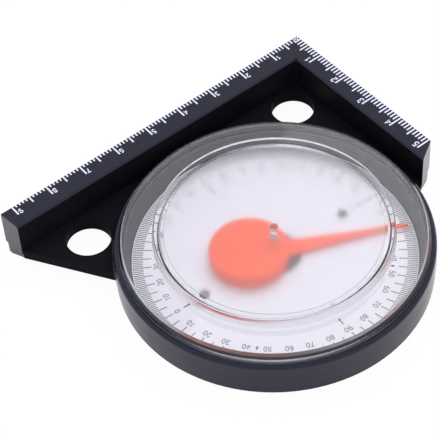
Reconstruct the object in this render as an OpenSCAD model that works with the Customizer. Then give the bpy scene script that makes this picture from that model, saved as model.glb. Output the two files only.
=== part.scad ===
// Dial inclinometer with an L-shaped ruler base: gravity pointer in a round cup.
// Millimetres. Origin: dial axis on the back plane. +X runs along the long ruler arm,
// +Y along the short one, +Z is the dial axis towards the reader.

/* [Ruler arms] */
// outer length of the long arm, from the corner of the L
long_arm = 92.9; // [80:0.1:120]
// outer length of the short arm, from the corner of the L
short_arm = 50; // [40:0.1:70]
// width of the long arm's ruler face
long_arm_w = 6.2; // [5:0.1:10]
// width of the short arm's ruler face
short_arm_w = 5.65; // [5:0.05:10]
// height of the ruler faces above the back plane
arm_h = 13.4; // [11:0.1:20]
// the long arm's end face leans back by this over the arm's width
end_lean = 0.6; // [0:0.1:2]
// slant of the short arm's end in plan, degrees
short_end_a = 31; // [0:1:45]
// bevel along the inner top edge of both arms
top_bevel = 0.4; // [0:0.1:1]
// radius of the upright inner corner between the arms
inner_r = 0.9; // [0.5:0.1:2]

/* [Cored back of the arms] */
// wall left round the channels
core_wall = 1.6; // [1.2:0.1:2]
// roof left over the channels
core_roof = 2; // [1.2:0.1:4]
// thickness of the cross ribs and end walls in the channels
core_rib = 1.6; // [1:0.1:3]
// flat lip that the arm stands on
lip_w = 1; // [0.5:0.1:1.5]

/* [Web plate] */
// underside of the web plate above the back plane
web_z = 2; // [1:0.1:4]
// thickness of the web plate
web_t = 2.9; // [2:0.1:5]
// direction of the free edge from the long arm's end, degrees
web_edge_a = 121.7; // [115:0.1:130]
// radius of the two through holes
hole_r = 5.5; // [2:0.1:6]
// least width of plate left round each hole
hole_wall = 2; // [1:0.1:2.2]
// hole beside the long arm's end, from the dial axis in X
far_hole_x = 31.4; // [25:0.1:33]
// hole beside the long arm's end, from the dial axis in Y
far_hole_y = -32.3; // [-34:0.1:-30]
// hole in the corner of the L, from the dial axis in X
corner_hole_x = -34; // [-35:0.1:-32]
// hole in the corner of the L, from the dial axis in Y
corner_hole_y = -33.1; // [-35:0.1:-32]

/* [Cup] */
// dial axis from the L's outer corner, along X
axis_x = 46.4; // [44:0.1:60]
// dial axis from the L's outer corner, along Y
axis_y = 45.75; // [44:0.05:60]
// outer radius of the cup just above the parting step
cup_r = 38.4; // [38.2:0.05:39.2]
// draft of the cup's outer wall, in radius
cup_draft = 0.1; // [0:0.05:0.3]
// depth of the parting step round the cup
cup_step = 0.1; // [0.05:0.05:0.3]
// rounding of the cup's outer top edge
cup_round = 0.9; // [0.2:0.1:1]
// height of the cup's rim
rim_h = 9.2; // [8:0.1:12]
// thickness of the cup's floor
floor_t = 2.3; // [1.5:0.1:3]
// inner radius of the cup at its floor
well_r = 34.5; // [30:0.1:36]
// draft of the inner wall, in radius
well_draft = 0.8; // [0:0.1:1]
// depth of the rebate that takes the lens
rebate_d = 1.2; // [0.5:0.1:2]
// height of the parting step round the housing
step_z = 3.8; // [3:0.1:5]
// depth of the parting step round the arms and the web
step_d = 0.3; // [0.1:0.05:0.5]
// radius of the boss in the middle of the floor
boss_r = 6.4; // [4:0.1:7]
// top of that boss above the back plane
boss_z = 2.9; // [2.6:0.1:3]

/* [Dial card] */
// radius of the card
card_r = 34.3; // [30:0.1:34.4]
// thickness of the card
card_t = 0.25; // [0.15:0.05:0.4]
// clearance round the boss and the studs
card_gap = 0.1; // [0.05:0.05:0.3]
// radius of the circle on which the card's studs stand
stud_pcd_r = 20.5; // [18:0.1:26]
// turn of the card and its studs from the long arm, degrees
card_a = -3.5; // [-5:0.1:5]
// radius of a stud's head
stud_r = 1.2; // [0.8:0.1:2]
// radius of a stud's shank
stud_shank_r = 0.7; // [0.5:0.1:1]
// height of a stud's head above the card
stud_h = 0.35; // [0.2:0.05:0.4]
// depth of a stud's shank in the floor
stud_depth = 1.4; // [1:0.1:1.8]

/* [Pointer] */
// direction of the needle at rest, degrees from the long arm
needle_a = 153.5; // [0:0.5:360]
// reach of the needle from the pivot
needle_l = 33; // [25:0.1:33.5]
// width of the needle's root
needle_root_w = 5.2; // [3:0.1:7]
// width of the needle two thirds of the way out
needle_mid_w = 1.6; // [0.8:0.1:2.5]
// width of the needle's tip
needle_tip_w = 0.3; // [0.2:0.05:0.6]
// thickness of the needle
needle_t = 0.8; // [0.5:0.1:1.5]
// radius of the counterweight disc
disc_r = 9.6; // [7:0.1:11]
// distance of the disc's centre from the pivot
disc_off = 6.25; // [4:0.05:8]
// thickness of the disc
disc_t = 3.5; // [2:0.1:4.2]
// rounding of the disc's top edge
disc_round = 0.5; // [0.1:0.1:1]
// underside of the pointer above the back plane
pointer_z = 3.25; // [3.2:0.05:3.6]
// radius of the hub round the pin
hub_r = 2.2; // [1.5:0.1:3]
// height of the hub above the disc
hub_h = 0.8; // [0.3:0.1:1]

/* [Pivot] */
// radius of the pivot pin
pin_r = 0.5; // [0.4:0.05:0.8]
// lower end of the pin above the back plane
pin_z = 1.4; // [1.3:0.1:2]
// upper end of the pin above the back plane
pin_top = 10.2; // [9.5:0.1:10.3]
// radial clearance of the pin in its two bearings
run_gap = 0.05; // [0.02:0.01:0.1]
// radial clearance of a pressed or glued piece
press_gap = 0.01; // [0.01:0.01:0.03]
// outer radius of the lower bearing bush
bush_r = 1.5; // [1.2:0.1:3]
// underside of the lower bearing bush
bush_z = 0.9; // [0.6:0.1:1.1]
// height of the lower bearing bush
bush_h = 2.05; // [1.6:0.05:2.1]
// thickness of the bush's closed end
bush_floor = 0.4; // [0.2:0.1:0.4]

/* [Lens] */
// radius of the lens where it enters the cup
lens_r = 36.85; // [36:0.05:36.9]
// draft of the lens's outer wall, in radius
lens_draft = 0; // [0:0.05:0.4]
// top of the lens's outer ring
ring_z = 11.55; // [11.2:0.05:12.6]
// radius of the raised centre
dome_r = 28.4; // [28:0.1:31]
// slope of the raised centre's side, in radius
dome_draft = 0.4; // [0:0.1:1]
// top of the raised centre
dome_z = 14; // [13:0.1:15]
// wall of the lens
lens_t = 1.6; // [1.2:0.1:2]
// thickness of the lens's outer ring
ring_t = 1.15; // [1:0.05:1.6]
// width of the lens's foot in the rebate
foot_w = 1.05; // [0.8:0.05:1.4]
// taper of the foot's inner wall up to the ring
foot_taper = 0.2; // [0:0.05:0.3]
// width of the bevel on the lens's shoulder
shoulder_w = 0.9; // [0.4:0.1:1.3]
// height of the bevel on the lens's shoulder
shoulder_h = 1.2; // [0.4:0.1:1.5]
// thickness of the raised centre's side
dome_wall = 1.2; // [0.9:0.1:1.5]
// bevel in the corner under the raised centre
dome_bevel = 0.5; // [0.1:0.1:0.7]
// radius of the lens's centre boss
lens_boss_r = 1; // [0.9:0.1:2.5]
// lower end of the lens's centre boss
lens_boss_z = 8.8; // [8:0.1:9.5]
// radius of the frosted film under the raised centre
film_r = 26.1; // [20:0.1:26.2]
// thickness of the frosted film
film_t = 0.1; // [0.05:0.05:0.2]
// clearance of the film round the centre boss
film_gap = 0.05; // [0.05:0.05:0.5]
// thickness of the adhesive between the film and the lens
film_bond = 0.02; // [0.01:0.01:0.05]

/* [Magnets] */
// length of a bar magnet
magnet_l = 24; // [10:0.5:26]
// height of a bar magnet
magnet_h = 7.5; // [4:0.5:8]
// middle of the first long-arm magnet from the L's outer corner
magnet_a = 22; // [15:0.5:24]
// middle of the second long-arm magnet from the long arm's end
magnet_b = 21.9; // [16:0.1:24]
// middle of the short arm's magnet from the L's outer corner
magnet_c = 26; // [20:0.5:30]
// clearance of a magnet in its channel, each side
magnet_gap = 0.05; // [0.02:0.01:0.1]

/* [Hidden] */
eps = 0.01;
short_end_y = short_arm + short_arm_w * tan(short_end_a);
web_top = web_z + web_t;
card_z = floor_t + card_t;
rebate_r = lens_r + press_gap;
ledge_z = rim_h - rebate_d;
core_top = arm_h - core_roof;
long_core_w = long_arm_w - 2 * core_wall - step_d;
short_core_w = short_arm_w - 2 * core_wall - step_d;
magnet_z = core_top - magnet_h;
magnet_b_x = long_arm - magnet_b;
holes = [[far_hole_x, far_hole_y], [corner_hole_x, corner_hole_y]];
slope_a = atan(web_z / (long_arm_w - lip_w - step_d - 0.6));
dome_under = dome_z - lens_t;

$fn = 180;

// moves a shape drawn from the L's outer corner to the dial-axis frame
module from_corner() {
  translate([-axis_x, -axis_y, 0]) children();
}

// plan of the two arms, drawn from the L's outer corner; i is the step inwards
module arms_plan(i) {
  polygon([[i, i], [long_arm - i, i], [long_arm - end_lean - i, long_arm_w],
           [short_arm_w, long_arm_w], [short_arm_w, short_end_y - i],
           [i, short_arm - i + i * tan(short_end_a)]]);
}

// plan of the web plate out to the cup's wall
module web_plan(i) {
  polygon([[i + 1, i + 1], [long_arm - end_lean - i - 1, i + 1],
           [long_arm - end_lean - i, long_arm_w],
           [long_arm - end_lean - i + 27 * cos(web_edge_a), long_arm_w + 27 * sin(web_edge_a)],
           [axis_x, axis_y],
           [short_arm_w + 7 * cos(short_end_a), short_end_y - i + 7 * sin(short_end_a)],
           [short_arm_w, short_end_y - i], [i + 1, short_arm - 2]]);
}

// the web as far as the middle of the arms' inner walls
module web_outside_arms(i) {
  difference() {
    web_plan(i);
    square([long_arm - 2, long_arm_w - core_wall / 2]);
    square([short_arm_w - core_wall / 2, short_arm - 1]);
  }
}

// fillet of the upright inner corner between the arms, above the web
module inner_fillet() {
  translate([0, 0, web_top - 0.5]) linear_extrude(height = arm_h - top_bevel - 0.1 - web_top + 0.5)
    polygon(concat([[short_arm_w - 0.5, long_arm_w - 0.5], [short_arm_w + inner_r, long_arm_w - 0.5]],
                   [for (t = [0:15:90]) [short_arm_w + inner_r * (1 - sin(t)),
                                         long_arm_w + inner_r * (1 - cos(t))]],
                   [[short_arm_w - 0.5, long_arm_w + inner_r]]));
}

// ring-shaped solid of the cup: its outer wall steps and drafts, its well is cut later
module cup_blank() {
  rotate_extrude()
    union() {
      polygon([[0, 0], [cup_r - cup_step - 0.05, 0], [cup_r - cup_step, step_z], [cup_r, step_z],
               [cup_r - cup_draft, rim_h - cup_round], [cup_r - cup_draft - cup_round, rim_h], [0, rim_h]]);
      translate([cup_r - cup_draft - cup_round, rim_h - cup_round]) circle(r = cup_round, $fn = 48);
    }
}

// well for the card and the pointer, with the rebate for the lens
module cup_well() {
  difference() {
    rotate_extrude()
      polygon([[0, floor_t], [well_r, floor_t], [well_r + well_draft, ledge_z],
               [rebate_r, ledge_z], [rebate_r, rim_h + 1], [0, rim_h + 1]]);
    translate([0, 0, floor_t - 1]) cylinder(r = boss_r, h = boss_z - floor_t + 1);
  }
}

// one channel in the back of an arm, from a to b along it
module long_channel(a, b) {
  translate([a, step_d + core_wall, -1]) cube([b - a, long_core_w, core_top + 1]);
}
module short_channel(a, b) {
  translate([step_d + core_wall, a, -1]) cube([short_core_w, b - a, core_top + 1]);
}

module bevel_cuts() {
  // inner top edge of the long arm
  translate([short_arm_w, long_arm_w, arm_h - top_bevel]) rotate([45, 0, 0])
    cube([long_arm, 3, 3]);
  // inner top edge of the short arm
  translate([short_arm_w, long_arm_w, arm_h - top_bevel]) rotate([0, -45, 0])
    cube([3, short_arm + 10, 3]);
}

// sloping underside of the arms, from the outer lip up to the web's underside, mitred at
// the corner: what is below both slopes goes
module underside_cuts() {
  intersection() {
    translate([-10, step_d + lip_w, 0]) rotate([slope_a, 0, 0])
      translate([0, 0, -60]) cube([long_arm + 20, long_arm, 60]);
    translate([step_d + lip_w, -10, 0]) rotate([0, -slope_a, 0])
      translate([0, 0, -60]) cube([long_arm + 20, long_arm, 60]);
  }
}

module housing() {
  color([0.1, 0.1, 0.11])
  difference() {
    union() {
      from_corner() {
        difference() {
          union() {
            linear_extrude(height = step_z) arms_plan(step_d);
            translate([0, 0, step_z]) linear_extrude(height = arm_h - step_z) arms_plan(0);
          }
          bevel_cuts();
          underside_cuts();
          long_channel(core_wall + step_d, magnet_a + magnet_l / 2 + 1);
          long_channel(magnet_a + magnet_l / 2 + 1 + core_rib, magnet_b_x - magnet_l / 2 - 1 - core_rib);
          long_channel(magnet_b_x - magnet_l / 2 - 1, long_arm - end_lean - step_d - core_rib);
          short_channel(long_arm_w + core_rib, magnet_c - magnet_l / 2 - 1);
          short_channel(magnet_c - magnet_l / 2 - 1 + core_rib, short_arm - step_d - core_rib);
        }
        translate([0, 0, web_z]) linear_extrude(height = step_z - web_z) web_outside_arms(step_d);
        translate([0, 0, step_z]) linear_extrude(height = web_top - step_z) web_outside_arms(0);
        inner_fillet();
      }
      cup_blank();
      // keeps plate round the holes where a shorter arm moves the free edge in
      for (p = holes) translate([p[0], p[1], web_z]) cylinder(r = hole_r + hole_wall, h = web_t);
    }
    cup_well();
    for (p = holes) translate([p[0], p[1], -1]) cylinder(r = hole_r, h = arm_h);
    translate([0, 0, bush_z]) cylinder(r = bush_r + press_gap, h = 5);
    rotate([0, 0, card_a]) for (s = [-1, 1])
      translate([s * stud_pcd_r, 0, card_z - stud_depth]) cylinder(r = stud_shank_r + press_gap, h = 5);
  }
}

module dial_card() {
  color([0.93, 0.93, 0.96])
  translate([0, 0, floor_t]) difference() {
    cylinder(r = card_r, h = card_t);
    translate([0, 0, -1]) cylinder(r = boss_r + card_gap, h = 3);
    rotate([0, 0, card_a]) for (s = [-1, 1])
      translate([s * stud_pcd_r, 0, -1]) cylinder(r = stud_shank_r + card_gap, h = 3);
  }
}

module card_studs() {
  color([0.08, 0.08, 0.09])
  rotate([0, 0, card_a]) for (s = [-1, 1]) translate([s * stud_pcd_r, 0, card_z]) {
    cylinder(r = stud_r, h = stud_h);
    translate([0, 0, -stud_depth]) cylinder(r = stud_shank_r, h = stud_depth + eps);
  }
}

module lower_bearing() {
  color([0.78, 0.62, 0.3])
  translate([0, 0, bush_z]) difference() {
    cylinder(r = bush_r, h = bush_h);
    translate([0, 0, bush_floor]) cylinder(r = pin_r + run_gap, h = bush_h);
  }
}

module pivot_pin() {
  color([0.75, 0.75, 0.78])
  rotate_extrude()
    polygon([[0, pin_z], [0.15, pin_z], [pin_r, pin_z + 0.35], [pin_r, pin_top - 0.35],
             [0.15, pin_top], [0, pin_top]]);
}

module pointer() {
  color([0.95, 0.33, 0.2])
  rotate([0, 0, needle_a]) difference() {
    union() {
      translate([0, 0, pointer_z]) linear_extrude(height = needle_t)
        polygon([[0, -needle_root_w / 2], [needle_l * 0.62, -needle_mid_w / 2],
                 [needle_l, -needle_tip_w / 2], [needle_l, needle_tip_w / 2],
                 [needle_l * 0.62, needle_mid_w / 2], [0, needle_root_w / 2]]);
      translate([-disc_off, 0, pointer_z]) rotate_extrude()
        union() {
          square([disc_r, disc_t - disc_round]);
          square([disc_r - disc_round, disc_t]);
          translate([disc_r - disc_round, disc_t - disc_round]) intersection() {
            circle(r = disc_round, $fn = 48);
            square(disc_round);
          }
        }
      translate([0, 0, pointer_z]) cylinder(r = hub_r, h = disc_t + hub_h);
    }
    translate([0, 0, pointer_z - 1]) cylinder(r = pin_r + press_gap, h = disc_t + hub_h + 2);
  }
}

// stepped clear cover with a centre boss for the pin's upper end
module lens() {
  color([0.85, 0.9, 0.95, 0.35])
  difference() {
    rotate_extrude() difference() {
      polygon([[0, ledge_z], [lens_r, ledge_z], [lens_r, rim_h],
               [lens_r - lens_draft, ring_z - shoulder_h],
               [lens_r - lens_draft - shoulder_w, ring_z], [dome_r + dome_draft, ring_z],
               [dome_r, dome_z - 0.2], [dome_r - 0.2, dome_z], [0, dome_z]]);
      polygon([[lens_boss_r, ledge_z - 1], [lens_r - foot_w, ledge_z - 1], [lens_r - foot_w, ledge_z],
               [lens_r - foot_w + foot_taper, ring_z - ring_t],
               [dome_r + dome_draft - dome_wall, ring_z - ring_t],
               [dome_r - dome_wall, dome_under - dome_bevel],
               [dome_r - dome_wall - dome_bevel, dome_under], [lens_boss_r, dome_under]]);
      translate([0, ledge_z - 1]) square([lens_boss_r + 1, 1 + lens_boss_z - ledge_z]);
    }
    translate([0, 0, lens_boss_z - 1]) cylinder(r = pin_r + run_gap, h = 1 + pin_top + 0.2 - lens_boss_z);
  }
}

module lens_film() {
  color([0.95, 0.95, 0.97, 0.5])
  translate([0, 0, dome_under - film_bond - film_t]) difference() {
    cylinder(r = film_r, h = film_t);
    translate([0, 0, -1]) cylinder(r = lens_boss_r + film_gap, h = 3);
  }
}

module long_arm_magnets() {
  color([0.35, 0.35, 0.37])
  from_corner() for (m = [magnet_a, magnet_b_x])
    translate([m - magnet_l / 2, step_d + core_wall + magnet_gap, magnet_z])
      cube([magnet_l, long_core_w - 2 * magnet_gap, magnet_h]);
}

module short_arm_magnet() {
  color([0.35, 0.35, 0.37])
  from_corner() translate([step_d + core_wall + magnet_gap, magnet_c - magnet_l / 2 + core_rib, magnet_z])
    cube([short_core_w - 2 * magnet_gap, magnet_l, magnet_h]);
}

housing();
dial_card();
card_studs();
lower_bearing();
pivot_pin();
pointer();
lens();
lens_film();
long_arm_magnets();
short_arm_magnet();
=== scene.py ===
"""Finishes, prints and studio for the dial inclinometer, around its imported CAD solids."""

import math

import bmesh
import bpy
from bpy.props import FloatProperty, FloatVectorProperty, PointerProperty
from mathutils import Matrix, Vector


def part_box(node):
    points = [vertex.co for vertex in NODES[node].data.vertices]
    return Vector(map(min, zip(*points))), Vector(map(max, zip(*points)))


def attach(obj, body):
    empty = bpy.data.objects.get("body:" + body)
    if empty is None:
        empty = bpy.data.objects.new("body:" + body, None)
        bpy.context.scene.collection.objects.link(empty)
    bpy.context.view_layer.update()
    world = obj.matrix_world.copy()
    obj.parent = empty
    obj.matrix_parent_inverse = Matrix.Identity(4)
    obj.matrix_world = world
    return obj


bl_info = {
    "name": "Dial inclinometer finishes",
    "version": (1, 0, 0),
    "blender": (4, 5, 0),
    "location": "3D View > Sidebar > Inclinometer",
    "description": "Materials, printed scales and studio for a dial inclinometer",
    "category": "Object",
}

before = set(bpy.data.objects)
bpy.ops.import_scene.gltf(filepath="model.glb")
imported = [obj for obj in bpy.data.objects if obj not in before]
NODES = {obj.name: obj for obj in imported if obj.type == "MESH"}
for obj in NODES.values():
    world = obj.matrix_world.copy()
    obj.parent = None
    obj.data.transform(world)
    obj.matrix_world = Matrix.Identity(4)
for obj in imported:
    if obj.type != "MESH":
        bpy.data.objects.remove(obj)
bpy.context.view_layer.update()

BODY = "case"
MM = 0.001
INK = 0.02 * MM  # thickness of a printed layer
BOND = 0.02 * MM  # gap between the film and the lens, for the adhesive

# Heights and edges that the prints and the materials follow, from the CAD nodes.
HOUSING_LOW, HOUSING_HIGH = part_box("housing")
CARD_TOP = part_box("dial_card")[1].z
ARM_TOP = HOUSING_HIGH.z
BOND_TOP = round(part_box("lens_film")[1].z + BOND, 6)
FILM_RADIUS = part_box("lens_film")[1].x
BASE_EDGE_Y = HOUSING_LOW.y
SIDE_EDGE_X = HOUSING_LOW.x

EDGE_GAP = 0.05 * MM  # from an arm's outer edge to the start of a ruler line
FILM_EDGE_SHADE_WIDTH = 0.15 * MM  # width of the grey margin painted at the film's edge, a painted shade line


# ---------------------------------------------------------------------------
# Settings


def length(name, text, default, low=0.0, high=0.1):
    return FloatProperty(
        name=name, description=text, default=default, min=low, max=high, unit="LENGTH", precision=5
    )


def factor(name, text, default):
    return FloatProperty(name=name, description=text, default=default, min=0.5, max=2.0)


def colour(name, text, default):
    return FloatVectorProperty(
        name=name, description=text, default=default, size=3, min=0.0, max=1.0, subtype="COLOR"
    )


class InclinometerRulerPrint(bpy.types.PropertyGroup):
    """Sizes of the centimetre scales on the two arms."""

    centimetre: length("Centimetre line", "Length of a centimetre line", 3.5 * MM)
    half: length("Half line", "Length of a half-centimetre line", 2.45 * MM)
    millimetre: length("Millimetre line", "Length of a millimetre line", 1.3 * MM)
    line: length("Line width", "Width of a ruler line", 0.4 * MM)
    digit: length("Digit height", "Height of the long arm's digits", 1.5 * MM)
    stroke: length("Digit stroke", "Width of a digit's stroke", 0.26 * MM)
    long_zero: length(
        "Long arm zero", "How far the long scale's zero is off the corner",
        -0.39 * MM, -0.01, 0.01,
    )
    long_back: length(
        "Long arm digit back", "How far a digit's middle is before its centimetre line", 0.98 * MM
    )
    long_in: length("Long arm digit in", "How far a digit's middle is in from the edge", 2.88 * MM)
    short_zero: length(
        "Short arm zero", "How far the short scale's zero is off the corner",
        -0.53 * MM, -0.01, 0.01,
    )
    short_back: length(
        "Short arm digit back", "How far a digit's middle is before its centimetre line", 1.1 * MM
    )
    short_in: length(
        "Short arm digit in", "How far a digit's middle is in from the edge", 3.42 * MM
    )
    short_factor: factor(
        "Short arm lines", "Length of the short arm's longer lines against the long arm's", 1.14
    )
    short_digits: factor(
        "Short arm digits", "Height of the short arm's digits against the long arm's", 1.22
    )
    short_strokes: factor(
        "Short arm strokes", "Width of the short arm's strokes against the long arm's", 1.15
    )
    short_millimetre: length(
        "Short arm millimetre", "Length of a millimetre line on the short arm", 1.86 * MM
    )
    lean: FloatProperty(
        name="Lean", description="Turn of the long scale against its arm's edge",
        default=math.radians(0.4), min=-0.1, max=0.1, unit="ROTATION",
    )


class InclinometerDialPrint(bpy.types.PropertyGroup):
    """Sizes of the degree scale on the card."""

    turn: FloatProperty(
        name="Turn", description="Direction of the card's zero against the long arm",
        default=math.radians(-3.5), min=-3.2, max=3.2, unit="ROTATION",
    )
    ring_in: length("Degree ring inside", "Inner radius of the one-degree lines", 31.6 * MM)
    ring_out: length("Degree ring outside", "Outer radius of the one-degree lines", 34.1 * MM)
    five_in: length("Five-degree lines", "Inner radius of the five-degree lines", 29.6 * MM)
    fine: length("Fine line", "Width of a one-degree line", 0.22 * MM)
    line: length("Line", "Width of a five-degree line", 0.24 * MM)
    digit: length("Digit height", "Height of the dial's digits", 1.45 * MM)
    digit_r: length("Digit radius", "Radius of the middle of the dial's digits", 28.35 * MM)
    stroke: length("Digit stroke", "Width of a dial digit's stroke", 0.2 * MM)
    bar_r: length("Bar radius", "Radius of the middle of the bars at 0 and 90", 25.6 * MM)
    bar_length: length("Bar length", "Length of the bars at 0 and 90", 1.8 * MM)
    bar: length("Bar width", "Width of the bars at 0 and 90", 0.32 * MM)
    knob: length("Knob width", "Width of the round end of a bar", 0.56 * MM)
    knob_length: length("Knob length", "Length of the round end of a bar", 0.6 * MM)
    diamond_r: length("Diamond radius", "Radius of the middle of the diamonds at 45", 28.2 * MM)
    diamond: length("Diamond length", "Length of a diamond, outwards", 1.16 * MM)
    diamond_width: length("Diamond width", "Width of a diamond", 0.72 * MM)


class InclinometerFinish(bpy.types.PropertyGroup):
    """Colours of the finishes, with the well's painted reflection, the film edge's painted shade
    line and the pointer's painted glow.
    """

    housing: colour("Housing", "Black of the grained plate", (0.007, 0.007, 0.0095))
    # The well colour is a painted reflection: the black cup wall gets a grey base colour for the
    # white card that it mirrors.
    well: colour("Well", "Painted reflection of the card, as grey on the black cup wall", (0.1, 0.1, 0.12))
    gloss: colour("Housing gloss", "Black of the housing's smooth faces", (0.002, 0.002, 0.016))
    card: colour("Card", "White of the dial card", (0.9, 0.885, 0.95))
    ink: colour("Dial ink", "Dark ink of the dial", (0.1, 0.1, 0.11))
    paint: colour("Ruler paint", "Pale paint of the ruler scales", (0.68, 0.7, 0.84))
    # The pointer colour also feeds the pointer's painted glow, an emission in pointer_material.
    pointer: colour("Pointer", "Orange red of the pointer, also the colour of its painted glow", (1.0, 0.09, 0.015))
    brass: colour("Bearing", "Brass of the lower bearing", (0.72, 0.5, 0.22))
    steel: colour("Pin", "Steel of the pivot pin", (0.56, 0.56, 0.58))
    ferrite: colour("Magnets", "Dark grey of the bar magnets", (0.035, 0.035, 0.038))
    clear: colour("Lens", "Tint of the clear lens", (0.975, 0.98, 0.99))
    lens_edge: colour("Lens edge", "Grey tint of the lens's outer bevel", (0.42, 0.46, 0.52))
    frosted: colour("Film", "Tint of the frosted film", (0.97, 0.97, 0.985))
    # The film edge colour is a painted shade line: a grey ring at the film's rim.
    film_edge: colour("Film edge", "Painted shade line at the film's edge", (0.5, 0.5, 0.54))


class InclinometerStudio(bpy.types.PropertyGroup):
    """Floor, light and camera."""

    backdrop: colour("Backdrop", "White that the camera sees round the part", (1.0, 1.0, 1.0))
    room: colour("Room", "Colour of the room's soft light", (0.96, 0.96, 1.0))
    room_level: FloatProperty(
        name="Room level", description="Strength of the room's soft light", default=1.2, min=0.0
    )
    key: FloatProperty(
        name="Key lamp", description="Power of the large lamp", default=1.1, min=0.0, unit="POWER"
    )
    focal: FloatProperty(
        name="Focal length", description="Lens of the camera, in mm", default=144.24, min=1.0
    )
    glow: FloatProperty(
        name="Floor glow", description="Share of the floor that the camera sees as the backdrop",
        default=0.95, min=0.0, max=1.0,
    )


# ---------------------------------------------------------------------------
# Shader node groups


def add_group(name, inputs, outputs):
    """A node group of plain values: inputs are (name, default), outputs are names."""
    group = bpy.data.node_groups.new(name, "ShaderNodeTree")
    for label, default in inputs:
        socket = group.interface.new_socket(
            name=label, in_out="INPUT", socket_type="NodeSocketFloat"
        )
        socket.default_value = default
    for label in outputs:
        group.interface.new_socket(name=label, in_out="OUTPUT", socket_type="NodeSocketFloat")
    return group, group.nodes.new("NodeGroupInput"), group.nodes.new("NodeGroupOutput")


def position_maths(group):
    """A maker of math nodes in a group, x, y and z in the part's frame, and the dial radius."""
    nodes, links = group.nodes, group.links

    def maths(operation, a, b=0.0):
        node = nodes.new("ShaderNodeMath")
        node.operation = operation
        for socket, value in zip(node.inputs, (a, b)):
            if isinstance(value, float):
                socket.default_value = value
            else:
                links.new(value, socket)
        return node.outputs[0]

    place = nodes.new("ShaderNodeTexCoord")
    split = nodes.new("ShaderNodeSeparateXYZ")
    links.new(place.outputs["Object"], split.inputs[0])
    x, y, z = split.outputs
    radius = maths("SQRT", maths("ADD", maths("MULTIPLY", x, x), maths("MULTIPLY", y, y)))
    return maths, x, y, z, radius


def moulded_grain_group():
    """Fine grain of a moulded or printed surface: Height for a bump, Mask that wanders slowly."""
    group, given, out = add_group(
        "Moulded Grain", [("Grain Size", 0.0003), ("Patch Size", 0.012)], ["Height", "Mask"]
    )
    nodes, links = group.nodes, group.links
    place = nodes.new("ShaderNodeTexCoord")
    for socket, output, detail in (("Grain Size", "Height", 2.0), ("Patch Size", "Mask", 3.0)):
        per_metre = nodes.new("ShaderNodeMath")
        per_metre.operation = "DIVIDE"
        per_metre.inputs[0].default_value = 1.0
        links.new(given.outputs[socket], per_metre.inputs[1])
        noise = nodes.new("ShaderNodeTexNoise")
        noise.inputs["Detail"].default_value = detail
        links.new(place.outputs["Object"], noise.inputs["Vector"])
        links.new(per_metre.outputs[0], noise.inputs["Scale"])
        links.new(noise.outputs["Fac"], out.inputs[output])
    return group


def housing_zones_group():
    """Masks of the housing: Shine on its outer faces, Well in the cup, where the card's reflection
    is painted grey, Inside within the L.
    """
    group, given, out = add_group(
        "Housing Zones",
        [("Arm Bevel", 0.01295), ("Well Radius", 0.03695), ("Well Floor", 0.00231),
         ("Cup Radius", 0.0386), ("Arm Face X", -0.0408), ("Arm Face Y", -0.0396)],
        ["Shine", "Well", "Inside"],
    )
    maths, x, y, z, radius = position_maths(group)
    given = given.outputs
    # The well mask marks where the card's reflection is painted in, and where the coat is left off.
    well = maths("MULTIPLY", maths("LESS_THAN", radius, given["Well Radius"]),
                 maths("GREATER_THAN", z, given["Well Floor"]))
    low = maths("LESS_THAN", z, given["Arm Bevel"])
    outside = maths("GREATER_THAN", radius, given["Cup Radius"])
    inner = maths("MULTIPLY", maths("GREATER_THAN", x, given["Arm Face X"]),
                  maths("GREATER_THAN", y, given["Arm Face Y"]))
    inside = maths("MULTIPLY", maths("MULTIPLY", low, outside), inner)
    shine = maths("MULTIPLY", maths("SUBTRACT", 1.0, inside), maths("SUBTRACT", 1.0, well))
    for name, mask in (("Shine", shine), ("Well", well), ("Inside", inside)):
        group.links.new(mask, out.inputs[name])
    return group


def lens_zones_group():
    """Masks of the lens: Bond over the film, Boss, Foot, outer Edge, Step round the middle."""
    group, given, out = add_group(
        "Lens Zones",
        [("Bond Height", 0.0124), ("Bond Reach", 0.00005), ("Bond Radius", 0.026),
         ("Boss Radius", 0.0012), ("Foot Radius", 0.0355), ("Foot Top", 0.0103),
         ("Edge Radius", 0.0359), ("Step Radius", 0.0266), ("Step Wall", 0.02765),
         ("Step Low", 0.01045), ("Step Middle", 0.0116), ("Step High", 0.0139)],
        ["Bond", "Boss", "Foot", "Edge", "Step"],
    )
    maths, _, _, z, radius = position_maths(group)
    given = given.outputs
    above = maths("SUBTRACT", z, given["Bond Height"])
    level = maths("LESS_THAN", maths("ABSOLUTE", above), given["Bond Reach"])
    low = maths("LESS_THAN", z, given["Foot Top"])
    wall = maths("MULTIPLY", maths("GREATER_THAN", z, given["Step Low"]),
                 maths("LESS_THAN", radius, given["Step Wall"]))
    step = maths("MULTIPLY", maths("MAXIMUM", wall, maths("GREATER_THAN", z, given["Step Middle"])),
                 maths("LESS_THAN", z, given["Step High"]))
    masks = {
        "Bond": (level, maths("LESS_THAN", radius, given["Bond Radius"])),
        "Boss": (maths("LESS_THAN", above, 0.0), maths("LESS_THAN", radius, given["Boss Radius"])),
        "Foot": (low, maths("GREATER_THAN", radius, given["Foot Radius"])),
        "Edge": (maths("SUBTRACT", 1.0, low), maths("GREATER_THAN", radius, given["Edge Radius"])),
        "Step": (step, maths("GREATER_THAN", radius, given["Step Radius"])),
    }
    for name, (one, other) in masks.items():
        group.links.new(maths("MULTIPLY", one, other), out.inputs[name])
    return group


def cut_edge_group():
    """1 outside a radius round the dial axis, 0 inside."""
    group, given, out = add_group("Cut Edge", [("Radius", 0.026)], ["Mask"])
    maths, _, _, _, radius = position_maths(group)
    group.links.new(maths("GREATER_THAN", radius, given.outputs["Radius"]), out.inputs["Mask"])
    return group


# ---------------------------------------------------------------------------
# Materials


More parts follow.
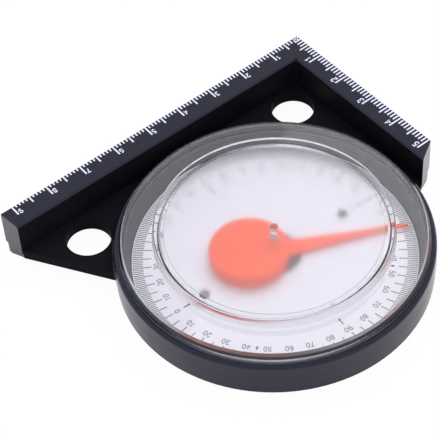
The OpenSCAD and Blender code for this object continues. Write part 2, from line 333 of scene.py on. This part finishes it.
class Finish:
    """A material under construction, with its Principled shader."""

    def __init__(self, name, base, roughness, **sockets):
        self.material = bpy.data.materials.new(name)
        self.material.use_nodes = True
        self.nodes = self.material.node_tree.nodes
        self.links = self.material.node_tree.links
        self.shader = self.nodes["Principled BSDF"]
        self.output = self.nodes["Material Output"]
        self.set("Base Color", (*base, 1.0))
        self.set("Roughness", roughness)
        for socket, value in sockets.items():
            self.set(socket.replace("_", " "), value)

    def set(self, socket, value):
        self.shader.inputs[socket].default_value = value

    def place_group(self, make, name, **values):
        """Places the group of that name, which make makes the first time."""
        node = self.nodes.new("ShaderNodeGroup")
        node.node_tree = bpy.data.node_groups.get(name) or make()
        for socket, value in values.items():
            node.inputs[socket.replace("_", " ")].default_value = value
        return node

    def grain(self, size, patch):
        return self.place_group(
            moulded_grain_group, "Moulded Grain", Grain_Size=size, Patch_Size=patch
        )

    def bump(self, height, strength, distance):
        bump = self.nodes.new("ShaderNodeBump")
        bump.inputs["Strength"].default_value = strength
        bump.inputs["Distance"].default_value = distance
        self.links.new(height, bump.inputs["Height"])
        self.links.new(bump.outputs["Normal"], self.shader.inputs["Normal"])

    def vary(self, mask, socket, low, high):
        """Lets the grain's slow mask move a value of the shader between low and high."""
        span = self.nodes.new("ShaderNodeMapRange")
        span.inputs["From Min"].default_value = 0.3
        span.inputs["From Max"].default_value = 0.7
        span.inputs["To Min"].default_value = low
        span.inputs["To Max"].default_value = high
        self.links.new(mask, span.inputs["Value"])
        self.links.new(span.outputs["Result"], self.shader.inputs[socket])

    def raise_by(self, mask, socket, amount):
        """Adds a share of a mask to a linked value of the shader."""
        add = self.nodes.new("ShaderNodeMath")
        add.operation = "MULTIPLY_ADD"
        add.inputs[1].default_value = amount
        self.links.new(mask, add.inputs[0])
        self.links.new(self.shader.inputs[socket].links[0].from_socket, add.inputs[2])
        self.links.new(add.outputs[0], self.shader.inputs[socket])

    def tint(self, mask, dark, light):
        """Lets a mask move the base colour between two colours; None is the colour so far."""
        mix = self.nodes.new("ShaderNodeMix")
        mix.data_type = "RGBA"
        if dark is None:
            self.links.new(self.shader.inputs["Base Color"].links[0].from_socket, mix.inputs["A"])
        else:
            mix.inputs["A"].default_value = (*dark, 1.0)
        mix.inputs["B"].default_value = (*light, 1.0)
        self.links.new(mask, mix.inputs["Factor"])
        self.links.new(mix.outputs["Result"], self.shader.inputs["Base Color"])

    def let_lamps_through(self, tint):
        """Rays from lamps pass straight through, as they do through thin clear plastic."""
        path = self.nodes.new("ShaderNodeLightPath")
        passing = self.nodes.new("ShaderNodeBsdfTransparent")
        passing.inputs["Color"].default_value = (*tint, 1.0)
        mix = self.nodes.new("ShaderNodeMixShader")
        self.links.new(path.outputs["Is Shadow Ray"], mix.inputs["Fac"])
        self.links.new(self.shader.outputs["BSDF"], mix.inputs[1])
        self.links.new(passing.outputs["BSDF"], mix.inputs[2])
        self.links.new(mix.outputs["Shader"], self.output.inputs["Surface"])


def scaled(rgb, times):
    return tuple(min(1.0, c * times) for c in rgb)


def dress(node, material):
    """Puts a material on a CAD node in place of its own."""
    slots = NODES[node].material_slots
    if not slots:
        raise RuntimeError("the CAD node %s has no material slot" % node)
    for slot in slots:
        slot.material = material


def housing_material(finish):
    plastic = Finish("Moulded black plastic", finish.housing, 0.5, Specular_IOR_Level=0.02,
                     Coat_Roughness=0.16, Coat_IOR=1.4)
    grain = plastic.grain(0.0003, 0.014)
    zones = plastic.place_group(housing_zones_group, "Housing Zones")
    plastic.links.new(zones.outputs["Shine"], plastic.shader.inputs["Coat Weight"])
    plastic.vary(grain.outputs["Mask"], "Roughness", 0.42, 0.58)
    plastic.tint(zones.outputs["Shine"], finish.housing, finish.gloss)
    # Painted reflection: the cup's inner wall is tinted grey for the white card that it mirrors.
    plastic.tint(zones.outputs["Well"], None, finish.well)
    rough = plastic.nodes.new("ShaderNodeMath")
    rough.operation = "MULTIPLY"
    plastic.links.new(grain.outputs["Height"], rough.inputs[0])
    plastic.links.new(zones.outputs["Inside"], rough.inputs[1])
    plastic.bump(rough.outputs[0], 0.5, 0.00006)
    return plastic.material


def card_material(finish):
    card = Finish("White dial card", finish.card, 0.45, Specular_IOR_Level=0.4)
    grain = card.grain(0.0002, 0.02)
    card.tint(grain.outputs["Mask"], scaled(finish.card, 0.985), scaled(finish.card, 1.015))
    card.vary(grain.outputs["Mask"], "Roughness", 0.4, 0.5)
    card.bump(grain.outputs["Height"], 0.1, 0.00001)
    return card.material


def stud_material(finish):
    stud = Finish("Black stud plastic", scaled(finish.housing, 1.4), 0.35)
    grain = stud.grain(0.0002, 0.003)
    stud.vary(grain.outputs["Mask"], "Roughness", 0.28, 0.42)
    stud.bump(grain.outputs["Height"], 0.15, 0.00001)
    return stud.material


def metal_material(name, base, roughness, patch):
    metal = Finish(name, base, roughness, Metallic=1.0)
    grain = metal.grain(0.00008, patch)
    metal.vary(grain.outputs["Mask"], "Roughness", roughness * 0.75, roughness * 1.25)
    metal.bump(grain.outputs["Height"], 0.12, 0.000005)
    return metal.material


def pointer_material(finish):
    # Painted glow: a weak emission in the pointer's own colour lights its shaded side walls and the
    # shade round the disc.
    pointer = Finish("Orange-red pointer plastic", finish.pointer, 0.32, Specular_IOR_Level=0.1,
                     Emission_Color=(*finish.pointer, 1.0), Emission_Strength=0.16)
    grain = pointer.grain(0.0003, 0.006)
    pointer.tint(grain.outputs["Mask"], scaled(finish.pointer, 0.95), scaled(finish.pointer, 1.05))
    pointer.vary(grain.outputs["Mask"], "Roughness", 0.26, 0.38)
    pointer.bump(grain.outputs["Height"], 0.1, 0.00001)
    return pointer.material


def lens_material(finish):
    clear = Finish("Clear lens plastic", finish.clear, 0.015, IOR=1.49, Transmission_Weight=1.0)
    grain = clear.grain(0.0008, 0.02)
    clear.vary(grain.outputs["Mask"], "Roughness", 0.01, 0.025)
    zones = clear.place_group(
        lens_zones_group, "Lens Zones", Bond_Height=BOND_TOP, Bond_Radius=FILM_RADIUS
    )
    for zone, blur in (("Bond", 0.17), ("Boss", 0.5), ("Foot", 0.1), ("Edge", 0.2), ("Step", 0.22)):
        clear.raise_by(zones.outputs[zone], "Roughness", blur)
    # The lens's outer bevel above the foot is tinted grey; the loop above also roughens it.
    clear.tint(zones.outputs["Edge"], finish.clear, finish.lens_edge)
    clear.let_lamps_through(finish.clear)
    return clear.material


def film_material(finish):
    film = Finish("Frosted film", finish.frosted, 0.285, IOR=1.18, Transmission_Weight=1.0)
    grain = film.grain(0.0002, 0.01)
    film.vary(grain.outputs["Mask"], "Roughness", 0.28, 0.29)
    # Painted shade: the film's outermost margin is tinted grey, a painted dark line along its edge.
    edge = film.place_group(cut_edge_group, "Cut Edge", Radius=FILM_RADIUS - FILM_EDGE_SHADE_WIDTH)
    film.tint(edge.outputs["Mask"], finish.frosted, finish.film_edge)
    film.let_lamps_through(finish.frosted)
    return film.material


def ferrite_material(finish):
    bar = Finish("Dark ferrite", finish.ferrite, 0.6, Specular_IOR_Level=0.6)
    grain = bar.grain(0.00025, 0.006)
    bar.tint(grain.outputs["Mask"], scaled(finish.ferrite, 0.7), scaled(finish.ferrite, 1.3))
    bar.vary(grain.outputs["Mask"], "Roughness", 0.5, 0.7)
    bar.bump(grain.outputs["Height"], 0.3, 0.00003)
    return bar.material


def ink_material(name, base, roughness):
    ink = Finish(name, base, roughness)
    grain = ink.grain(0.00012, 0.004)
    ink.tint(grain.outputs["Mask"], scaled(base, 0.9), scaled(base, 1.1))
    ink.bump(grain.outputs["Height"], 0.1, 0.000005)
    return ink.material


# ---------------------------------------------------------------------------
# Printed lines and digits


def arc(cx, cy, rx, ry, start, end, steps=12):
    """Points on an ellipse, angles in degrees."""
    return [
        (cx + rx * math.cos(math.radians(start + (end - start) * k / steps)),
         cy + ry * math.sin(math.radians(start + (end - start) * k / steps)))
        for k in range(steps + 1)
    ]


# Each digit as pen strokes in a cell 0.6 wide and 1 high.
DIGIT_CELL = 0.6
DIGIT_GAP = 0.12
DIGITS = {
    "0": [arc(0.3, 0.5, 0.24, 0.44, 90, 450, 28)],
    "1": [[(0.12, 0.74), (0.26, 0.82), (0.36, 0.94), (0.36, 0.06)]],
    "2": [arc(0.3, 0.68, 0.23, 0.26, 170, -20, 12)
          + [(0.42, 0.4), (0.14, 0.16), (0.08, 0.06), (0.54, 0.06)]],
    "3": [arc(0.29, 0.72, 0.2, 0.22, 160, -80, 12) + arc(0.29, 0.28, 0.24, 0.22, 80, -160, 14)],
    "4": [[(0.42, 0.06), (0.42, 0.94), (0.06, 0.3), (0.56, 0.3)]],
    "5": [[(0.5, 0.94), (0.16, 0.94), (0.11, 0.52)]
          + arc(0.29, 0.33, 0.24, 0.27, 130, -155, 14)],
    "6": [arc(0.36, 0.42, 0.28, 0.52, 62, 180, 8) + arc(0.31, 0.31, 0.23, 0.25, 180, 540, 20)],
    "7": [[(0.08, 0.94), (0.54, 0.94), (0.36, 0.6), (0.26, 0.3), (0.24, 0.06)]],
    "8": [arc(0.3, 0.72, 0.19, 0.22, -90, 270, 20), arc(0.3, 0.28, 0.23, 0.22, 90, 450, 20)],
    "9": [arc(0.24, 0.58, 0.28, 0.52, 242, 360, 8) + arc(0.29, 0.69, 0.23, 0.25, 0, 360, 20)],
}


SHORTEST = 1e-9  # a step of the pen below this length has no direction
SAME = 1e-6  # points nearer than this are one point
LEAST_BEND = 0.6  # least cosine at a bend, so that a sharp bend grows no spike


def pen_outline(points, width):
    """Left and right edges of a pen stroke of one width along the points."""
    left, right = [], []
    for i, here in enumerate(points):
        before = points[max(i - 1, 0)]
        after = points[min(i + 1, len(points) - 1)]
        a = Vector(here) - Vector(before)
        b = Vector(after) - Vector(here)
        a = a.normalized() if a.length > SHORTEST else b.normalized()
        b = b.normalized() if b.length > SHORTEST else a
        normal = Vector((-(a.y + b.y), a.x + b.x))
        normal = normal.normalized() if normal.length > SAME else Vector((-a.y, a.x))
        reach = 0.5 * width / max(LEAST_BEND, normal.dot(Vector((-a.y, a.x))))
        left.append(Vector(here) + normal * reach)
        right.append(Vector(here) - normal * reach)
    return left, right


class Print:
    """Collects flat printed shapes and makes one thin layer of ink from them."""

    def __init__(self):
        self.mesh = bmesh.new()

    def ribbon(self, points, width, place, closed=False):
        """A pen stroke; place turns a flat point into a point of the part."""
        left, right = pen_outline(points, width)
        rows = []
        for a, b in zip(left, right):
            rows.append([self.mesh.verts.new(place(p, z)) for p in (a, b) for z in (0.0, INK)])
        if closed:
            for v in rows[-1]:
                self.mesh.verts.remove(v)
            rows[-1] = rows[0]
        for (a0, a1, b0, b1), (c0, c1, d0, d1) in zip(rows[:-1], rows[1:]):
            self.mesh.faces.new((a1, b1, d1, c1))
            self.mesh.faces.new((a0, c0, d0, b0))
            self.mesh.faces.new((a0, a1, c1, c0))
            self.mesh.faces.new((b0, d0, d1, b1))
        if not closed:
            a0, a1, b0, b1 = rows[0]
            c0, c1, d0, d1 = rows[-1]
            self.mesh.faces.new((a0, b0, b1, a1))
            self.mesh.faces.new((c0, c1, d1, d0))

    def line(self, start, end, width, place):
        self.ribbon([start, end], width, place)

    def patch(self, outline, place):
        """A filled flat shape."""
        low = [self.mesh.verts.new(place(Vector(p), 0.0)) for p in outline]
        high = [self.mesh.verts.new(place(Vector(p), INK)) for p in outline]
        self.mesh.faces.new(high)
        self.mesh.faces.new(low[::-1])
        for i in range(len(outline)):
            j = (i + 1) % len(outline)
            self.mesh.faces.new((low[i], low[j], high[j], high[i]))

    def number(self, text, height, stroke, place):
        """A number with its middle at the place's zero, upright along its second axis."""
        step = (DIGIT_CELL + DIGIT_GAP) * height
        left = -0.5 * (step * len(text) - DIGIT_GAP * height)
        for k, digit in enumerate(text):
            for points in DIGITS[digit]:
                moved = [(left + k * step + x * height, (y - 0.5) * height) for x, y in points]
                closed = (Vector(points[0]) - Vector(points[-1])).length < SAME
                self.ribbon(moved, stroke, place, closed)

    def finish(self, name, material, slot):
        """Turns the shapes into one piece of the part, which ends this print."""
        bmesh.ops.recalc_face_normals(self.mesh, faces=self.mesh.faces)
        data = bpy.data.meshes.new(name)
        self.mesh.to_mesh(data)
        self.mesh.free()
        data.materials.append(material)
        piece = bpy.data.objects.new(name, data)
        bpy.context.scene.collection.objects.link(piece)
        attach(piece, BODY)


def plane(origin, right, up):
    """A place for flat points: right and up are the print's axes on a level face."""
    origin, right, up = Vector(origin), Vector(right), Vector(up)

    def place(point, z):
        return origin + right * point[0] + up * point[1] + Vector((0.0, 0.0, z))

    return place


def ruler_scale(ink, arm, count, zero, reaches, width, lean):
    """Lines of one arm; arm gives a place whose first axis runs along the arm, from the corner."""
    slope = math.tan(lean)
    centimetre, half, millimetre = reaches
    for tick in range(1, count + 1):
        along = tick * MM + zero
        reach = centimetre if tick % 10 == 0 else half if tick % 5 == 0 else millimetre
        far = reach - slope * along
        ink.line((along, EDGE_GAP), (along + slope * far, far), width, arm)


def bar_outline(sizes):
    """A bar along the second axis with a round knob at its lower end."""
    top, side = sizes.bar_length / 2, sizes.bar / 2
    neck, centre = -0.4 * top, -0.68 * top
    knob = arc(0.0, centre, sizes.knob / 2, sizes.knob_length / 2, 140, 400, 12)
    return [(-side, top), (-side, neck)] + knob + [(side, neck), (side, top)]


# ---------------------------------------------------------------------------
# Operators


class INCLINOMETER_OT_housing(bpy.types.Operator):
    """Dress the moulded housing in grained black plastic, with the card's reflection painted grey
    on the cup's inner wall
    """

    bl_idname = "inclinometer.housing"
    bl_label = "Housing finish"

    def execute(self, context):
        dress("housing", housing_material(context.scene.inclinometer_finish))
        return {"FINISHED"}


class INCLINOMETER_OT_movement(bpy.types.Operator):
    """Dress the card, its studs, the bearing, the pin and the pointer, which has a painted glow"""

    bl_idname = "inclinometer.movement"
    bl_label = "Card and pointer finish"

    def execute(self, context):
        finish = context.scene.inclinometer_finish
        dress("dial_card", card_material(finish))
        dress("card_studs", stud_material(finish))
        dress("lower_bearing", metal_material("Turned brass", finish.brass, 0.28, 0.002))
        dress("pivot_pin", metal_material("Ground steel", finish.steel, 0.2, 0.002))
        dress("pointer", pointer_material(finish))
        return {"FINISHED"}


class INCLINOMETER_OT_lens(bpy.types.Operator):
    """Dress the stepped lens in clear plastic and its film in frosted plastic, with a painted shade
    line at the film's edge
    """

    bl_idname = "inclinometer.lens"
    bl_label = "Lens finish"

    def execute(self, context):
        finish = context.scene.inclinometer_finish
        dress("lens", lens_material(finish))
        dress("lens_film", film_material(finish))
        return {"FINISHED"}


class INCLINOMETER_OT_magnets(bpy.types.Operator):
    """Dress the bar magnets in the arms in dark ferrite"""

    bl_idname = "inclinometer.magnets"
    bl_label = "Magnet finish"

    def execute(self, context):
        ferrite = ferrite_material(context.scene.inclinometer_finish)
        dress("long_arm_magnets", ferrite)
        dress("short_arm_magnet", ferrite)
        return {"FINISHED"}


class INCLINOMETER_OT_ruler_print(bpy.types.Operator):
    """Print the centimetre scales on the two arms"""

    bl_idname = "inclinometer.ruler_print"
    bl_label = "Ruler scales"

    LONG_LINES = 90
    SHORT_LINES = 50

    def execute(self, context):
        sizes = context.scene.inclinometer_ruler
        finish = context.scene.inclinometer_finish
        paint = ink_material("Pale ruler paint", finish.paint, 0.4)
        corner = (SIDE_EDGE_X, BASE_EDGE_Y, ARM_TOP)
        slope = math.tan(sizes.lean)
        along_x, along_y, back_y = (1, 0, 0), (0, 1, 0), (0, -1, 0)

        lines = Print()
        reaches = (sizes.centimetre, sizes.half, sizes.millimetre)
        ruler_scale(lines, plane(corner, along_x, along_y), self.LONG_LINES, sizes.long_zero,
                    reaches, sizes.line, sizes.lean)
        reaches = (sizes.centimetre * sizes.short_factor, sizes.half * sizes.short_factor,
                   sizes.short_millimetre)
        ruler_scale(lines, plane(corner, along_y, along_x), self.SHORT_LINES, sizes.short_zero,
                    reaches, sizes.line, 0.0)
        lines.finish("ruler_lines", paint, "card")

        numbers = Print()
        for k in range(1, self.LONG_LINES // 10 + 1):
            along = k * 10 * MM + sizes.long_zero
            place = plane((corner[0] + along - sizes.long_back,
                           corner[1] + sizes.long_in - slope * along, ARM_TOP), along_x, along_y)
            numbers.number(str(k), sizes.digit, sizes.stroke, place)
        for k in range(1, self.SHORT_LINES // 10 + 1):
            along = k * 10 * MM + sizes.short_zero
            place = plane((corner[0] + sizes.short_in, corner[1] + along - sizes.short_back,
                           ARM_TOP), back_y, along_x)
            numbers.number(str(k), sizes.digit * sizes.short_digits,
                           sizes.stroke * sizes.short_strokes, place)
        numbers.finish("ruler_numbers", paint, "card")
        return {"FINISHED"}


class INCLINOMETER_OT_dial_print(bpy.types.Operator):
    """Print the four quarter scales on the card"""

    bl_idname = "inclinometer.dial_print"
    bl_label = "Dial scales"

    def execute(self, context):
        sizes = context.scene.inclinometer_dial
        ink = ink_material("Dark dial ink", context.scene.inclinometer_finish.ink, 0.5)

        def out_at(degrees, radius):
            """A place at a radius of the dial, with its second axis pointing outwards."""
            angle = sizes.turn + math.radians(degrees)
            outward = Vector((math.cos(angle), math.sin(angle), 0.0))
            middle = outward * radius
            return plane((middle.x, middle.y, CARD_TOP), (outward.y, -outward.x, 0.0), outward)

        lines = Print()
        for degree in range(360):
            inner = sizes.five_in if degree % 5 == 0 else sizes.ring_in
            width = sizes.line if degree % 5 == 0 else sizes.fine
            lines.line((0.0, inner), (0.0, sizes.ring_out), width, out_at(degree, 0.0))
        lines.finish("dial_lines", ink, "stud_plastic")

        numbers = Print()
        for degree in range(0, 360, 10):
            value = min(degree % 180, 180 - degree % 180)
            numbers.number(str(value), sizes.digit, sizes.stroke, out_at(degree, sizes.digit_r))
        numbers.finish("dial_numbers", ink, "stud_plastic")

        marks = Print()
        bar = bar_outline(sizes)
        tall, wide = sizes.diamond / 2, sizes.diamond_width / 2
        diamond = [(-wide, 0), (0, -tall), (wide, 0), (0, tall)]
        for degree in range(0, 360, 90):
            marks.patch(bar, out_at(degree, sizes.bar_r))
            marks.patch(diamond, out_at(degree + 45, sizes.diamond_r))
        marks.finish("dial_marks", ink, "stud_plastic")
        return {"FINISHED"}


class INCLINOMETER_OT_studio(bpy.types.Operator):
    """Set up the pale floor, the soft light and the camera"""

    bl_idname = "inclinometer.studio"
    bl_label = "Studio"

    CAMERA_PLACE = (0.16958, 0.21237, 0.32504)
    CAMERA_ROWS = (
        (-0.77605557, 0.62895495, -0.04640497),
        (0.49690396, 0.56448987, -0.65911884),
        (-0.38836092, -0.53457166, -0.75060571),
    )
    HALF_PIXEL = 0.5 / 440
    SENSOR = 36.0
    FLOOR_REACH = 3.0
    FLOOR_LOW = -0.05 * MM
    KEY_PLACE = (-0.25, -0.1, 0.6)
    KEY_SIZE = 0.5
    KEY_TINT = (1.0, 1.0, 1.0)

    def camera(self, studio):
        right, down, forward = (Vector(row) for row in self.CAMERA_ROWS)
        turn = Matrix((right, -down, -forward)).transposed().to_4x4()
        data = bpy.data.cameras.new("camera")
        data.lens = studio.focal
        data.sensor_width = self.SENSOR
        data.clip_start, data.clip_end = 0.01, 20.0
        data.shift_x, data.shift_y = -self.HALF_PIXEL, self.HALF_PIXEL
        camera = bpy.data.objects.new("camera", data)
        camera.matrix_world = Matrix.Translation(self.CAMERA_PLACE) @ turn
        bpy.context.scene.collection.objects.link(camera)
        bpy.context.scene.camera = camera

    def seen_white(self, nodes, links, glossy, through):
        """1 for camera rays, with shares of the rays off glossy faces and through glass added."""
        path = nodes.new("ShaderNodeLightPath")
        total = path.outputs["Is Camera Ray"]
        for name, share in (("Is Glossy Ray", glossy), ("Is Transmission Ray", through)):
            add = nodes.new("ShaderNodeMath")
            add.operation = "MULTIPLY_ADD"
            add.use_clamp = True
            add.inputs[1].default_value = share
            links.new(path.outputs[name], add.inputs[0])
            links.new(total, add.inputs[2])
            total = add.outputs[0]
        return total

    def world(self, studio):
        world = bpy.data.worlds.new("studio")
        world.use_nodes = True
        nodes, links = world.node_tree.nodes, world.node_tree.links
        room = nodes["Background"]
        room.inputs["Color"].default_value = (*studio.room, 1.0)
        room.inputs["Strength"].default_value = studio.room_level
        white = nodes.new("ShaderNodeBackground")
        white.inputs["Color"].default_value = (*studio.backdrop, 1.0)
        white.inputs["Strength"].default_value = 1.0
        mix = nodes.new("ShaderNodeMixShader")
        # Rays that leave through the lens keep the room's light, which lights the card.
        seen = self.seen_white(nodes, links, 1.0, -1.0)
        links.new(seen, mix.inputs["Fac"])
        links.new(room.outputs[0], mix.inputs[1])
        links.new(white.outputs[0], mix.inputs[2])
        links.new(mix.outputs[0], nodes["World Output"].inputs["Surface"])
        bpy.context.scene.world = world

    def floor(self, studio):
        data = bpy.data.meshes.new("floor")
        corners = ((-1, -1), (1, -1), (1, 1), (-1, 1))
        data.from_pydata(
            [(x * self.FLOOR_REACH, y * self.FLOOR_REACH, self.FLOOR_LOW) for x, y in corners],
            [], [(0, 1, 2, 3)],
        )
        floor = bpy.data.objects.new("floor", data)
        bpy.context.scene.collection.objects.link(floor)
        paper = Finish("White paper floor", (0.9, 0.9, 0.91), 0.9, Specular_IOR_Level=0.1)
        grain = paper.grain(0.001, 0.2)
        paper.bump(grain.outputs["Height"], 0.05, 0.00002)
        glow = paper.nodes.new("ShaderNodeEmission")
        glow.inputs["Color"].default_value = (*studio.backdrop, 1.0)
        mix = paper.nodes.new("ShaderNodeMixShader")
        share = paper.nodes.new("ShaderNodeMath")
        share.operation = "MULTIPLY"
        share.inputs[1].default_value = studio.glow
        # Glossy faces see less of the glow, so the cup's side stays dark.
        seen = self.seen_white(paper.nodes, paper.links, 0.4, 1.0)
        paper.links.new(seen, share.inputs[0])
        paper.links.new(share.outputs[0], mix.inputs["Fac"])
        paper.links.new(paper.shader.outputs["BSDF"], mix.inputs[1])
        paper.links.new(glow.outputs["Emission"], mix.inputs[2])
        paper.links.new(mix.outputs["Shader"], paper.output.inputs["Surface"])
        data.materials.append(paper.material)

    def key_lamp(self, studio):
        data = bpy.data.lights.new("key", "AREA")
        data.shape = "SQUARE"
        data.size = self.KEY_SIZE
        data.energy = studio.key
        data.color = self.KEY_TINT
        lamp = bpy.data.objects.new("key", data)
        lamp.location = self.KEY_PLACE
        lamp.visible_glossy = False
        lamp.rotation_euler = (-Vector(self.KEY_PLACE)).to_track_quat("-Z", "Y").to_euler()
        bpy.context.scene.collection.objects.link(lamp)

    def execute(self, context):
        scene = context.scene
        studio = scene.inclinometer_studio
        scene.view_settings.view_transform = "Standard"
        self.camera(studio)
        self.world(studio)
        self.floor(studio)
        self.key_lamp(studio)
        return {"FINISHED"}


class INCLINOMETER_PT_panel(bpy.types.Panel):
    """Lists the settings and the steps in the sidebar"""

    bl_idname = "INCLINOMETER_PT_panel"
    bl_label = "Inclinometer"
    bl_space_type = "VIEW_3D"
    bl_region_type = "UI"
    bl_category = "Inclinometer"

    def draw(self, context):
        for name, _ in SETTINGS:
            box = self.layout.box()
            group = getattr(context.scene, name)
            for key in group.__annotations__:
                box.prop(group, key)
        for step in STEPS:
            self.layout.operator(step.bl_idname)


SETTINGS = (
    ("inclinometer_ruler", InclinometerRulerPrint),
    ("inclinometer_dial", InclinometerDialPrint),
    ("inclinometer_finish", InclinometerFinish),
    ("inclinometer_studio", InclinometerStudio),
)
STEPS = (
    INCLINOMETER_OT_housing,
    INCLINOMETER_OT_movement,
    INCLINOMETER_OT_lens,
    INCLINOMETER_OT_magnets,
    INCLINOMETER_OT_ruler_print,
    INCLINOMETER_OT_dial_print,
    INCLINOMETER_OT_studio,
)
CLASSES = tuple(group for _, group in SETTINGS) + STEPS + (INCLINOMETER_PT_panel,)


def register():
    for cls in CLASSES:
        bpy.utils.register_class(cls)
    for name, group in SETTINGS:
        setattr(bpy.types.Scene, name, PointerProperty(type=group))


def unregister():
    for name, _ in SETTINGS:
        delattr(bpy.types.Scene, name)
    for cls in reversed(CLASSES):
        bpy.utils.unregister_class(cls)


def main():
    register()
    for step in STEPS:
        area, name = step.bl_idname.split(".")
        if getattr(getattr(bpy.ops, area), name)() != {"FINISHED"}:
            raise RuntimeError(step.bl_idname + " did not finish")


if __name__ == "__main__":
    main()
